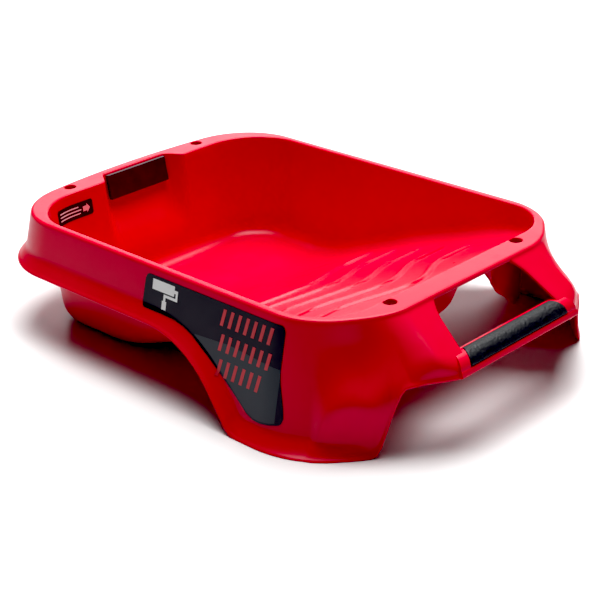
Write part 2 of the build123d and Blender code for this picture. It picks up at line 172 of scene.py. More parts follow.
def arm_share(turn):
    """Share of the arm's straight slope in the sweep: whole across the arm, fading round the corner."""
    at_corner = 0.456
    if turn > HANDLE_TURN:
        return at_corner * max(0.0, (ARM_FADE - turn) / (ARM_FADE - HANDLE_TURN)) ** 2.1
    y = HANDLE_END_R * math.sin(math.radians(turn))
    return mix(at_corner, 1.0, clamp((104.1 - y) / 20.0) ** 0.85)


def end_throw(z, turn):
    """Throw beyond the rim round the handle end: arm slope, corner sweep, cap and foot flare."""
    a = math.radians(turn)
    foot = ease((turn - 36.0) / 24.0)
    above = max(0.0, 92.0 - z)
    corner = mix(0.15, DRAFT, foot) * (105.0 - z) + 0.0113 * above**2 * (1 - foot)
    if turn <= HANDLE_TURN:
        base = HANDLE_END_R * math.cos(a) - (HANDLE_END_R - HALF_L)
    else:
        base = HANDLE_CX + R_HANDLE * math.cos(a)
    slope = 0.0
    if turn < ARM_FADE:
        slope = (HALF_L + ARM_SLOPE * max(0.0, ARM_TOP - z) - base) / math.cos(a)
    sweep = mix(corner, slope, arm_share(turn))
    flare_share = ease((turn - 24.0) / 14.0)
    if turn > HANDLE_TURN:
        cap = SWEEP_CAP + 2.5 * abs(turn - 45) / 40 - FOOT_FLARE * flare_share
        cap = mix(cap, ARM_CAP, ease((24.0 - turn) / (24.0 - HANDLE_TURN)))
        cap = mix(cap, FOOT_CAP, foot)
    else:
        cap = mix(ARM_CAP, ARM_OUT - base, ease((104.0 - HANDLE_END_R * math.sin(a)) / 44.0))
    lip = end_lip(turn)
    out = soft_min(sweep, cap, mix(9.0, 1.0, foot))
    out += flare(FLARE - (z - lip), mix(FOOT_FLARE * flare_share, FLARE_OUT, foot))
    lip_turn = mix(2.4, 1.6, clamp((30 - turn) / 20)) * clamp((90 - turn) / 25)
    rise = clamp((lip + 6 - z) / 6)
    return out + lip_turn * rise**2 + bead(z - lip)


def handle_outer(turn, z):
    """Point of the skirt's outer face round the handle end, by its turn from +X and its height."""
    a = math.radians(turn)
    if turn < HANDLE_TURN:
        x, y = HANDLE_END_R * math.cos(a) - (HANDLE_END_R - HALF_L), HANDLE_END_R * math.sin(a)
    else:
        x, y = HANDLE_CX + R_HANDLE * math.cos(a), HANDLE_CY + R_HANDLE * math.sin(a)
    r = end_throw(z, turn)
    return x + r * math.cos(a), y + r * math.sin(a), z


def side_outer(x, z):
    """Point of the skirt's outer face on the +Y side."""
    lip, slope = side_lip(x)
    return x, HALF_W + side_throw(z, lip, slope), z


def well_panel(y, z):
    """Shallow raised band across the outside of the well end."""
    return 2.4 * ease((z - 84.5) / 3.0) * ease((104.0 - z) / 3.0) * ease((110.0 - abs(y)) / 4.0)


def well_outer(turn, z):
    """Point of the skirt's outer face round the well end, by its turn from -X and its height."""
    a = math.radians(turn)
    if turn < WELL_TURN:
        x, y = -(WELL_END_R * math.cos(a) - (WELL_END_R - HALF_L)), WELL_END_R * math.sin(a)
    else:
        x, y = WELL_CX - R_WELL * math.cos(a), WELL_CY + R_WELL * math.sin(a)
    r = side_throw(z, LIP, 0.0) + well_panel(y, z)
    return x - r * math.cos(a), y + r * math.sin(a), z


OPENING = [                                  # (x, half width) along the side of the hand opening
    (212.0, 40.0), (222.0, 48.0), (228.0, 54.2), (233.0, 57.2), (239.0, 59.5), (261.0, 64.0), (276.8, 67.7),
]
OPENING_SPREAD = 0.234                       # its widening beyond the last point


def opening_edge(x):
    """Half width of the hand opening, and of the gap that the grip fills, at a place along X."""
    for (x0, y0), (x1, y1) in zip(OPENING, OPENING[1:]):
        if x <= x1:
            return y0 + (y1 - y0) * (x - x0) / (x1 - x0)
    return OPENING[-1][1] + OPENING_SPREAD * (x - OPENING[-1][0])


def edge_turn(z):
    """Turn at which the skirt's outer face meets the side of the hand opening, at a height."""
    lo, hi = 1.0, 12.0
    for _ in range(30):
        mid = (lo + hi) / 2
        x, y, _ = handle_outer(mid, z)
        if y < opening_edge(x):
            lo = mid
        else:
            hi = mid
    return (lo + hi) / 2


# ---------------------------------------------------------------- pan
def blend_ramp(u, b):
    """A line that rises from zero, with the bend at zero rounded over b to each side."""
    if u <= -b:
        return 0.0
    return (u + b) ** 2 / (4 * b) if u < b else u


RAMP_LOW, RAMP_HIGH = 42.0 / 110.0, 50.0 / 158.0
RAMP_START, RAMP_BEND = -70.0, 40.0
START_ROUND, BEND_ROUND = 27.0, 8.5


def ramp(x):
    """Height of the pan's floor: flat in the well, then two slopes up to the handle end."""
    rise = RAMP_LOW * blend_ramp(x - RAMP_START, START_ROUND)
    return FLOOR_Z + rise + (RAMP_HIGH - RAMP_LOW) * blend_ramp(x - RAMP_BEND, BEND_ROUND)


RIBS = [(8.0 + 31.0 * i, 16.0 + 3.0 * i) for i in range(5)]      # (x at the sides, bow at mid width)
RIB_HEIGHT, RIB_END, RIB_WAVE = 2.4, 116.0, 152.0        # height, half length, and width of the bow
RIB_FOOT, RIB_BACK = 5.0, 4.4                # how far a rib reaches to the well side and to the handle side
POCKET_HALF, POCKET_FLAT = 53.0, 38.5        # half widths of the magnet's pocket at its mouth and its back


def rib_height(x, y):
    """Raised wavy ribs on the ramp: gentle on the well side, steep towards the handle."""
    end = ease((RIB_END - abs(y)) / 6.0)
    if end <= 0:
        return 0.0
    best = 0.0
    for base, bow in RIBS:
        crest = base + (bow * math.cos(math.pi * y / RIB_WAVE) ** 2 if abs(y) < RIB_WAVE / 2 else 0.0)
        u = x - crest
        if -RIB_FOOT < u < RIB_BACK:
            best = max(best, ease((u + RIB_FOOT) / 4.5) * ease((RIB_BACK - u) / 2.6))
    return RIB_HEIGHT * best * end


def pocket(y, z):
    """How far the well end's inner wall steps back behind the magnet."""
    side = clamp((POCKET_HALF - abs(y)) / (POCKET_HALF - POCKET_FLAT))
    side -= 0.06 * math.sin(2 * math.pi * side)
    return max(0.0, side) * (9.25 + 0.0863 * z) * ease((z - 26) / 54.0)


# ---------------------------------------------------------------- the sheet, station by station
def spread(a, b, n):
    """n even steps from a, leaving b itself out."""
    return [mix(a, b, i / n) for i in range(n)]


# Top of the skirt, the opening's side at that level, ends of the two bows, and the pan's corner centres.
Z_TOP = HEIGHT - RIM_ROUND + RIM_ROUND * math.sin(math.atan(DRAFT))
OPENING_TURN = edge_turn(Z_TOP)
OPENING_Y = HANDLE_END_R * math.sin(math.radians(OPENING_TURN))
HANDLE_BOW_Y = HANDLE_END_R * math.sin(math.radians(HANDLE_TURN))
WELL_BOW_Y = WELL_END_R * math.sin(math.radians(WELL_TURN))
PAN_CY_HANDLE = PAN_W - PAN_R_HANDLE
PAN_CY_WELL = PAN_W - PAN_R_WELL

# Stations run round the +Y half of the sheet, from the handle end's middle to the well end's middle.
# Each is (part of the skirt, its turn or x, pan edge x, pan edge y, the pan edge's outward angle).
EDGE = 20                                    # station at the side of the hand opening
stations = []
for y in spread(0, OPENING_Y, EDGE) + spread(OPENING_Y, HANDLE_BOW_Y, 20):
    t = math.degrees(math.asin(y / HANDLE_END_R))
    stations.append(("handle", t, PAN_HANDLE, PAN_CY_HANDLE * y / HANDLE_BOW_Y, 0.0))
for a in spread(0, 45, 16) + spread(45, 90, 36):
    t = mix(HANDLE_TURN, 90, a / 90)
    r = math.radians(a)
    x, y = PAN_HANDLE - PAN_R_HANDLE * (1 - math.cos(r)), PAN_CY_HANDLE + PAN_R_HANDLE * math.sin(r)
    stations.append(("handle", t, x, y, r))
for x in spread(HANDLE_CX, -10, 120) + spread(-10, WELL_CX, 28):
    t = (HANDLE_CX - x) / (HANDLE_CX - WELL_CX)
    pan_x = mix(PAN_HANDLE - PAN_R_HANDLE, PAN_WELL + PAN_R_WELL, t)
    stations.append(("side", x, pan_x, PAN_W, math.pi / 2))
for a in spread(90, 45, 16) + spread(45, 0, 17):
    t = mix(WELL_TURN, 90, a / 90)
    r = math.radians(a)
    x, y = PAN_WELL + PAN_R_WELL * (1 - math.cos(r)), PAN_CY_WELL + PAN_R_WELL * math.sin(r)
    stations.append(("well", t, x, y, math.pi - r))
pocket_side = spread(POCKET_HALF, POCKET_FLAT, 8) + spread(POCKET_FLAT, 0, 15)
for y in spread(PAN_CY_WELL, POCKET_HALF, 16) + pocket_side + [0.0]:
    t = math.degrees(math.asin(y / PAN_CY_WELL * WELL_BOW_Y / WELL_END_R))
    stations.append(("well", t, PAN_WELL, y, math.pi))
HALF = len(stations) - 1
AROUND = 2 * HALF                            # stations round the whole sheet
PATCH_HANDLE, PATCH_WELL = 56, 256                   # stations where the floor patch has its corners
assert HALF == PATCH_HANDLE + PATCH_WELL

LOW = [0, 0.5, 1, 1.6, 2.3, 3, 4, 5, 6, 7.5, 9, 10.5, 12, 13.5]  # close rows above the skirt's lower edge
LOW_TOP = 15.0                               # where the even rows above them begin
UP_ROWS = 28                                 # how many of those there are, less one
LIP_ROUND = WALL / 2 - 0.3
REGULAR = 30                                 # turn past which stations no longer follow the opening's side


def lip_of(kind, value):
    if kind == "side":
        return side_lip(value)[0]
    return LIP if kind == "well" else end_lip(value)


edge_cache = {}


def outer_point(kind, value, z):
    """Point of a station on the skirt; by the hand opening the stations lean to follow its side."""
    if kind == "side":
        return side_outer(value, z)
    if kind == "well":
        return well_outer(value, z)
    key = round(z, 4)
    if value < REGULAR and key not in edge_cache:
        edge_cache[key] = edge_turn(z)
    if value <= OPENING_TURN:
        value = value * edge_cache[key] / OPENING_TURN
    elif value < REGULAR:
        edge = edge_cache[key]
        value = edge + (value - OPENING_TURN) * (REGULAR - edge) / (REGULAR - OPENING_TURN)
    return handle_outer(value, z)


def rim_rows(top, n, q, qx, qy, back):
    """Rows over the rim (outer rounding, flat top, inner rounding), and the level where they end."""
    lean_out, lean_in = math.atan(DRAFT), math.atan(PAN_DRAFT)
    cx = top[0] - n[0] * RIM_ROUND * math.cos(lean_out)
    cy = top[1] - n[1] * RIM_ROUND * math.cos(lean_out)
    rows = []
    for k in range(1, 6):
        p = mix(lean_out, math.pi / 2, k / 5)
        r = RIM_ROUND * math.cos(p)
        rows.append((cx + n[0] * r, cy + n[1] * r, HEIGHT - RIM_ROUND + RIM_ROUND * math.sin(p)))
    pan_top = HEIGHT - PAN_ROUND + PAN_ROUND * math.sin(lean_in)
    step = PAN_ROUND * math.cos(lean_in) - PAN_DRAFT * (HEIGHT - pan_top) + back
    inner = (qx + q[0] * step, qy + q[1] * step)
    for t in (0.03, 0.12, 0.5, 0.88, 0.97, 1.0):
        rows.append((mix(cx, inner[0], t), mix(cy, inner[1], t), HEIGHT))
    for k in range(1, 5):
        p = mix(math.pi / 2, lean_in, k / 4)
        r = PAN_ROUND * math.cos(p)
        z = HEIGHT - PAN_ROUND + PAN_ROUND * math.sin(p)
        rows.append((inner[0] - q[0] * r, inner[1] - q[1] * r, z))
    return rows, pan_top


def wall_rows(kind, q, qx, qy, pan_top):
    """Rows down the pan's wall and round the floor fillet, in the station's own upright plane."""
    s0, z0 = 0.0, FLOOR_Z
    for _ in range(6):
        z0 = ramp(qx - q[0] * s0)
        s0 = PAN_DRAFT * (HEIGHT - z0)
    slope = (ramp(qx - q[0] * (s0 + 1)) - ramp(qx - q[0] * (s0 - 1))) / 2
    u = np.array([-PAN_DRAFT, 1.0])
    u /= np.linalg.norm(u)
    v = np.array([1.0, slope])
    v /= np.linalg.norm(v)
    opening = math.acos(float(u @ v))
    radius = min(FLOOR_ROUND, 0.5 * (HEIGHT - PAN_ROUND - z0))
    reach = radius / math.tan(opening / 2)
    corner = np.array([s0, z0])
    start = corner + u * reach
    finish = corner + v * reach
    mid = (u + v) / np.linalg.norm(u + v)
    centre = corner + mid * radius / math.sin(opening / 2)
    rows = []
    for k in range(1, 17):
        z = mix(pan_top, start[1], k / 16)
        s = PAN_DRAFT * (HEIGHT - z) - (pocket(qy, z) if kind == "well" else 0.0)
        rows.append((qx - q[0] * s, qy - q[1] * s, z))
    a0, a1 = start - centre, finish - centre
    turn = math.pi - opening
    drop = ramp(qx - q[0] * finish[0]) - finish[1]
    for k in range(1, 9):
        t = k / 8
        w = (math.sin((1 - t) * turn) * a0 + math.sin(t * turn) * a1) / math.sin(turn)
        p = centre + w
        rows.append((qx - q[0] * p[0], qy - q[1] * p[0], p[1] + t * drop))
    return rows


def station_rings(kind, value, qx, qy, qa):
    """One upright section of the sheet, from the skirt's lip over the rim and down to the pan's floor."""
    lip = lip_of(kind, value)
    rows = [outer_point(kind, value, lip + LIP_ROUND + d) for d in LOW]
    for k in range(UP_ROWS + 1):
        rows.append(outer_point(kind, value, mix(lip + LIP_ROUND + LOW_TOP, Z_TOP, k / UP_ROWS)))
    if kind == "handle":
        a = math.radians(value)
    else:
        a = math.pi / 2 if kind == "side" else math.pi - math.radians(value)
    n = (math.cos(a), math.sin(a))
    q = (math.cos(qa), math.sin(qa))
    back = pocket(qy, HEIGHT) if kind == "well" else 0.0
    over, pan_top = rim_rows(rows[-1], n, q, qx, qy, back)
    return rows + over + wall_rows(kind, q, qx, qy, pan_top)


half_rows = np.array([station_rings(*station) for station in stations])
RINGS = half_rows.shape[1]
SKIRT = len(LOW) + UP_ROWS + 1               # rings 0 to SKIRT - 1 lie on the skirt
grid = np.zeros((AROUND, RINGS, 3))
grid[: HALF + 1] = half_rows
mirrored = half_rows[1:HALF][::-1].copy()
mirrored[:, :, 1] *= -1
grid[HALF + 1:] = mirrored

# The floor patch fills the last ring, blended from its four sides: LONG quads along the tray, WIDE across.
LONG, WIDE = PATCH_WELL - PATCH_HANDLE, 2 * PATCH_HANDLE
ring = grid[:, -1, :2]
side_a = ring[[PATCH_HANDLE + a for a in range(LONG + 1)]]
side_b = ring[[(AROUND - PATCH_HANDLE - a) % AROUND for a in range(LONG + 1)]]
end_h = ring[[(PATCH_HANDLE - b) % AROUND for b in range(WIDE + 1)]]
end_w = ring[[PATCH_WELL + b for b in range(WIDE + 1)]]
along = ((side_a[:, 0] - side_a[0, 0]) / (side_a[-1, 0] - side_a[0, 0]))[:, None, None]
across = ((end_h[:, 1] - end_h[0, 1]) / (end_h[-1, 1] - end_h[0, 1]))[None, :, None]
corners = (1 - along) * (1 - across) * side_a[0] + along * (1 - across) * side_a[-1]
corners = corners + (1 - along) * across * side_b[0] + along * across * side_b[-1]
patch = (1 - across) * side_a[:, None] + across * side_b[:, None]
patch = patch + (1 - along) * end_h[None] + along * end_w[None] - corners

points = [tuple(p) for p in grid.reshape(-1, 3)]
raised = [0.0] * len(points)


def last_of(station):
    """Index of a station's last point, on the edge of the floor patch."""
    return (station % AROUND) * RINGS + RINGS - 1


index = np.zeros((LONG + 1, WIDE + 1), int)
for a in range(LONG + 1):
    for b in range(WIDE + 1):
        if b == 0:
            index[a, b] = last_of(PATCH_HANDLE + a)
        elif b == WIDE:
            index[a, b] = last_of(AROUND - PATCH_HANDLE - a)
        elif a == 0:
            index[a, b] = last_of(PATCH_HANDLE - b)
        elif a == LONG:
            index[a, b] = last_of(PATCH_WELL + b)
        else:
            x, y = patch[a, b]
            index[a, b] = len(points)
            points.append((x, y, ramp(x)))
            raised.append(rib_height(x, y))

faces = []
for i in range(AROUND):
    j = (i + 1) % AROUND
    gap = i < EDGE or i >= AROUND - EDGE
    for k in range(RINGS - 1):
        if gap and k < SKIRT - 1:
            continue
        faces.append((i * RINGS + k, j * RINGS + k, j * RINGS + k + 1, i * RINGS + k + 1))
for a in range(LONG):
    for b in range(WIDE):
        faces.append((index[a, b], index[a + 1, b], index[a + 1, b + 1], index[a, b + 1]))

used = sorted({v for f in faces for v in f})
remap = {v: n for n, v in enumerate(used)}
sheet = np.array([points[v] for v in used])
sheet_rise = np.array([raised[v] for v in used])
sheet_faces = np.array([[remap[v] for v in f] for f in faces])


def vertex_normals(p, f):
    """Unit normals of a quad sheet's points, weighted by area."""
    d1 = p[f[:, 2]] - p[f[:, 0]]
    d2 = p[f[:, 3]] - p[f[:, 1]]
    fn = np.cross(d1, d2)
    vn = np.zeros_like(p)
    for c in range(4):
        np.add.at(vn, f[:, c], fn)
    return vn / np.maximum(np.linalg.norm(vn, axis=1), 1e-12)[:, None]


def open_edges(f):
    """Edges of a quad sheet that only one quad has, in the direction that it runs them."""
    seen = {}
    for q in f:
        for c in range(4):
            a, b = int(q[c]), int(q[(c + 1) % 4])
            if (b, a) in seen:
                del seen[(b, a)]
            else:
                seen[(a, b)] = True
    return list(seen)


def thicken(p, f, thick, rise):
    """Closed solid from an open sheet: an offset copy below it and a half-round strip along its borders."""
    n = vertex_normals(p, f)
    low = p - n * thick
    count = len(p)
    border = open_edges(f)
    out = {}
    for a, b in border:
        t = p[b] - p[a]
        t /= max(np.linalg.norm(t), 1e-9)
        d = np.cross(t, (n[a] + n[b]) / 2)
        for v in (a, b):
            out[v] = out.get(v, 0) + d
    steps = 4
    extra, where = [], {}
    for v, d in out.items():
        d = d / max(np.linalg.norm(d), 1e-9)
        mid = (p[v] + low[v]) / 2
        h = (p[v] - low[v]) / 2
        where[v] = 2 * count + len(extra)
        for k in range(1, steps):
            a = math.pi * k / steps
            extra.append(mid + math.cos(a) * h + math.sin(a) * d * thick / 2)
    top = p + np.column_stack([np.zeros(count), np.zeros(count), rise])
    verts = np.vstack([top, low, np.array(extra)])
    quads = [tuple(q) for q in f] + [tuple(int(v) + count for v in reversed(q)) for q in f]

    def chain(v):
        return [v] + [where[v] + k for k in range(steps - 1)] + [v + count]

    for a, b in border:
        ca, cb = chain(a), chain(b)
        for k in range(steps):
            quads.append((cb[k], ca[k], ca[k + 1], cb[k + 1]))
    verts[:, 2] = np.maximum(verts[:, 2], 0.0)
    return verts, quads


def build(name, verts, quads):
    """Mesh object from points in millimetres."""
    mesh = bpy.data.meshes.new(name)
    mesh.from_pydata([tuple(v) for v in place(verts)], [], [tuple(int(i) for i in q) for q in quads])
    mesh.validate()
    mesh.update()
    obj = bpy.data.objects.new(name, mesh)
    scene.collection.objects.link(obj)
    return obj


def smooth(obj, angle=38.0):
    """Smooth shading, with edges sharper than the angle kept sharp."""
    mesh = obj.data
    mesh.polygons.foreach_set("use_smooth", [True] * len(mesh.polygons))
    mesh.set_sharp_from_angle(angle=math.radians(angle))
    mesh.update()


def loft(rings):
    """Closed skin through rings of equal length, with flat caps at both ends."""
    m = len(rings[0])
    verts = [p for r in rings for p in r]
    quads = []
    for k in range(len(rings) - 1):
        for i in range(m):
            j = (i + 1) % m
            quads.append((k * m + i, k * m + j, (k + 1) * m + j, (k + 1) * m + i))
    quads.append(tuple(reversed(range(m))))
    quads.append(tuple((len(rings) - 1) * m + i for i in range(m)))
    return verts, quads


def combine(target, other, operation):
    """Boolean of two closed meshes into the first; the second is used up."""
    mod = target.modifiers.new("join", "BOOLEAN")
    mod.operation = operation
    mod.object = other
    try:
        mod.solver = "MANIFOLD"
    except TypeError:
        mod.solver = "EXACT"
    bpy.context.view_layer.update()
    depsgraph = bpy.context.evaluated_depsgraph_get()
    result = bpy.data.meshes.new_from_object(target.evaluated_get(depsgraph))
    target.modifiers.clear()
    old = target.data
    target.data = result
    bpy.data.meshes.remove(old)
    bpy.data.objects.remove(other)


tray = build("tray_moulding", *thicken(sheet, sheet_faces, WALL, sheet_rise))


# ---------------------------------------------------------------- handle bar
def arc(r, a0, a1, n):
    """n steps of an arc about the bar's axis, as (x, z) points."""
    out = []
    for k in range(n + 1):
        a = math.radians(mix(a0, a1, k / max(n, 1)))
        out.append((BAR_X + r * math.cos(a), BAR_Z + r * math.sin(a)))
    return out


def grip_end(x):
    """Half length of the grip's seat: its ends slant, so that it is longer on the outer side."""
    return 58.7 + 0.4706 * (x - 261.5)


# Section of the channel-shaped bar: outer lip, top, inner wall, hollow, and the hollow's outer side.
LOWER = [(277.2, 60.0), (278.2, 60.4), (278.6, 61.2), (278.3, 62.4), (277.3, 65.0), (276.9, 65.6)]
INNER = [
    (258.3, 74.4), (256.8, 73.4), (255.7, 71.9), (255.2, 69.5), (255.2, 61.2),
    (255.6, 60.3), (256.5, 60.0), (257.6, 60.2), (258.2, 61.0), (258.6, 64.6),
]
OUTWARD = [(270.3, 63.4), (271.2, 61.6), (273.0, 60.4), (275.5, 60.0)]
SEAT_R, BAR_R, CREST_R, HOLLOW_R = 8.3, 12.1, 12.3, 5.4      # under the grip, past its ends, top, hollow
SHOULDER = 0.03                              # length of the step at each end of the grip's seat
INTO_ARM = 12.0                              # how far the bar runs on into the arms


def bar_profile(recess):
    pts = list(LOWER)
    pts += arc(SEAT_R if recess else BAR_R, 9.6, 107.0, 18)
    pts += arc(CREST_R, 107.4, 116.0, 3)
    pts += INNER
    pts += arc(HOLLOW_R, 158.0, 22.0, 10)
    pts += OUTWARD
    return pts


def bar_ring(recess, extra, side):
    return [(x, side * (grip_end(x) + extra), z) for x, z in bar_profile(recess)]


low_ring, high_ring = bar_ring(True, 0.0, -1), bar_ring(True, 0.0, 1)
bar_rings = [bar_ring(False, INTO_ARM, -1), bar_ring(False, SHOULDER, -1), low_ring]
for t in np.linspace(0, 1, 26)[1:-1]:
    bar_rings.append([tuple(mix(a, b, t) for a, b in zip(p, q)) for p, q in zip(low_ring, high_ring)])
bar_rings += [high_ring, bar_ring(False, SHOULDER, 1), bar_ring(False, INTO_ARM, 1)]
combine(tray, build("bar", *loft(bar_rings)), "UNION")


# ---------------------------------------------------------------- web behind the hand opening
WEB_ARCH = [                                 # (y, z) of the web's arched lower edge
    (17.0, 105.4), (24.0, 97.0), (31.0, 88.5), (38.0, 83.2), (46.0, 76.6), (55.0, 69.0), (64.0, 63.0),
    (78.0, 54.5), (92.0, 46.0), (116.0, 30.0), (140.0, 14.0), (150.0, 8.5), (160.0, 6.0), (200.0, 4.0),
]
WEB_INNER, WEB_OUTER = 17.0, 172.0           # half widths where it starts and where it stops
WEB_INSET = 0.5                              # how far its end keeps inside the middle of the skirt's wall
WEB_TOP, WEB_RIM_X = 106.5, 201.0            # its top inside the rim, and where it passes under the ramp


def web_reach(x, z):
    """Half width at which the web's plane meets the middle of the skirt's wall at a height."""
    lip, slope = side_lip(x)
    return HALF_W + side_throw(max(z, lip), lip, slope) - WALL / 2


def web_ring(t, side):
    """Upright section of the web: outer face, rounded lower edge, inner face."""
    y = mix(WEB_INNER, WEB_OUTER, t)
    x = WEB_X - WEB_SLANT * max(0.0, y - WEB_FLAT)
    low = height_on(WEB_ARCH, y)
    top = WEB_TOP if x > WEB_RIM_X else ramp(x + 2.0) - WALL / 2
    levels = [mix(top, low + 1.2, k / 10) for k in range(11)]
    shape = [(0.0, z) for z in levels] + [(-0.4, low + 0.4), (-1.2, low), (-1.8, low), (-2.6, low + 0.4)]
    shape += [(-WALL, z) for z in reversed(levels)]
    if side > 0:
        shape = shape[::-1]
    return [(x + dx, side * min(y, web_reach(x + dx, z) - WEB_INSET), z) for dx, z in shape]


for web_side in (-1, 1):
    web = build("web", *loft([web_ring(t, web_side) for t in np.linspace(0.0, 1.0, 60)]))
    combine(tray, web, "UNION")

# ---------------------------------------------------------------- holes in the rim
HOLE_X, HOLE_Y = (-210.8, 206.7), 83.5
HOLE_STEPS = (                               # (z, radius): above the rim, its rounded mouth, the bore
    (112.0, 8.4), (109.6, 6.9), (109.0, 6.4), (108.6, 5.95),
    (108.0, 5.65), (107.2, 5.6), (102.0, 5.6), (97.0, 5.6),
)
HOLE_SIDES = 48


def drill(x, y):
    rings = []
    for z, r in HOLE_STEPS:
        turns = np.linspace(0, -2 * math.pi, HOLE_SIDES + 1)[:-1]
        rings.append([(x + r * math.cos(t), y + r * math.sin(t), z) for t in turns])
    return build("drill", *loft(rings))


for hole_x in HOLE_X:
    for hole_y in (-HOLE_Y, HOLE_Y):
        combine(tray, drill(hole_x, hole_y), "DIFFERENCE")

smooth(tray)
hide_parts("tray_body")
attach(tray, "root")

# ---------------------------------------------------------------- grip sleeve
GRIP_OUTER, GRIP_INNER = 12.7, 8.45          # radii of the sleeve
GRIP_FROM, GRIP_TO = 10.6, 105.6             # the part of a turn that it covers, in degrees
GRIP_STEPS = 40                              # steps round its outer face
GRIP_ROWS = 170                              # rows along it
GRIP_BACK = 1.4                              # rounding of its ends
GRIP_STOPS = [(0.9, 0.25), (0.45, 0.45), (0.12, 0.8), (0.0, GRIP_BACK)]      # end rows: (inset, set back)


def grip_profile(inset):
    """Section of the sleeve, shrunk by an inset, with rounded corners."""
    outer, inner = GRIP_OUTER - inset, GRIP_INNER + inset * 0.4
    shrink = math.degrees(inset / 12.0)
    a0, a1 = GRIP_FROM + shrink, GRIP_TO - shrink
    prof = arc(outer, a0 + 4.2, a1 - 4.2, GRIP_STEPS)
    for r, a in ((outer - 0.35, a1 - 1.6), (outer - 1.1, a1), (inner + 0.3, a1)):
        prof += arc(r, a, a, 0)
    prof += arc(inner, a1 - 1.0, a0 + 1.0, 12)
    for r, a in ((inner + 0.3, a0), (outer - 1.1, a0), (outer - 0.35, a0 + 1.6)):
        prof += arc(r, a, a, 0)
    return prof


grip_rings = []
for inset, back in GRIP_STOPS:
    grip_rings.append([(x, -(grip_end(x) - back), z) for x, z in grip_profile(inset)])
body_profile = grip_profile(0.0)
for t in np.linspace(0, 1, GRIP_ROWS)[1:-1]:
    across_bar = [mix(-(grip_end(x) - GRIP_BACK), grip_end(x) - GRIP_BACK, t) for x, z in body_profile]
    grip_rings.append([(x, y, z) for (x, z), y in zip(body_profile, across_bar)])
for inset, back in reversed(GRIP_STOPS):
    grip_rings.append([(x, grip_end(x) - back, z) for x, z in grip_profile(inset)])
for row in grip_rings[3:-3]:                 # a fine uneven surface on the outer face
    for k in range(3, GRIP_STEPS - 2):
        x, y, z = row[k]
        outward = Vector((x - BAR_X, 0, z - BAR_Z)).normalized()
        bump = 0.22 * noise.noise(Vector((x * 0.55, y * 0.55, z * 0.55)))
        bump += 0.12 * noise.noise(Vector((x * 1.4, y * 1.4, z * 1.4)))
        row[k] = (x + outward.x * bump, y, z + outward.z * bump)
grip = build("grip_sleeve", *loft(grip_rings))
smooth(grip, 50)
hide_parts("handle_grip")
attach(grip, "root")


# ---------------------------------------------------------------- decals
def skirt_at(x, z):
    """Point of the near long side's outer face that is seen at X and Z when looking along +Y."""
    if x <= HANDLE_CX:
        return np.array(side_outer(x, z)) * (1, -1, 1)
    lo, hi = 20.0, 90.0
    for _ in range(26):
        mid = (lo + hi) / 2
        if handle_outer(mid, z)[0] > x:
            lo = mid
        else:
            hi = mid
    return np.array(handle_outer(lo, z)) * (1, -1, 1)


def pan_at(y, z):
    """Point of the well end's inner wall at Y and Z."""
    s = PAN_DRAFT * (HEIGHT - z)
    if abs(y) <= PAN_CY_WELL:
        return np.array([PAN_WELL + s, y, z])
    r = PAN_R_WELL - s
    dy = min(abs(y) - PAN_CY_WELL, r)
    return np.array([PAN_WELL + PAN_R_WELL - math.sqrt(r * r - dy * dy), y, z])


def surface_normal(surface, u, v):
    step = 0.4
    along_u = surface(u + step, v) - surface(u - step, v)
    along_v = surface(u, v + step) - surface(u, v - step)
    normal = np.cross(along_u, along_v)
    return normal / np.linalg.norm(normal)


def film(name, cols, surface, lift, depth):
    """Closed thin film laid on a surface: cols is a grid of (u, v) places on it."""
    base = np.array([[surface(u, v) for u, v in col] for col in cols])
    nrm = np.array([[surface_normal(surface, u, v) for u, v in col] for col in cols])
    a, b = base.shape[:2]
    top = (base + nrm * lift).reshape(-1, 3)
    low = (base + nrm * (lift - depth)).reshape(-1, 3)
    vs = np.vstack([top, low])
    n = a * b
    qs = []
    for i in range(a - 1):
        for j in range(b - 1):
            q = (i * b + j, (i + 1) * b + j, (i + 1) * b + j + 1, i * b + j + 1)
            qs.append(q)
            qs.append(tuple(v + n for v in reversed(q)))
    loop = [(i, 0) for i in range(a)] + [(a - 1, j) for j in range(1, b)]
    loop += [(i, b - 1) for i in range(a - 2, -1, -1)] + [(0, j) for j in range(b - 2, 0, -1)]
    idx = [i * b + j for i, j in loop]
    for p, q in zip(idx, idx[1:] + idx[:1]):
        qs.append((q, p, p + n, q + n))
    obj = build(name, vs, qs)
    smooth(obj, 35)
    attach(obj, "root")
    return obj


LOWER_EDGE = [                               # (x, z) of the side decal's lower edge
    (-8, 72), (18, 71.9), (37, 71.0), (50, 68.4), (62, 64.2), (73, 58.4), (84, 52.4), (92, 47.2),
    (107, 37.2), (120, 28.0), (132, 19.6), (140, 16.6), (148, 16.2), (158, 17.6), (168, 20.0), (174, 21.5),
]
DECAL_LOW_X, DECAL_TOP_X = (-7.4, 170.6), (-6.4, 163.5)      # ends of its lower and upper edges
DECAL_TOP_Z = 102.0
DECAL_COLS, DECAL_ROWS = 103, 44


def rounding(radius, edge):
    """How far a corner's arc cuts in, at a distance from the film's end."""
    return radius - math.sqrt(max(0.0, radius * radius - max(0.0, radius - edge) ** 2))


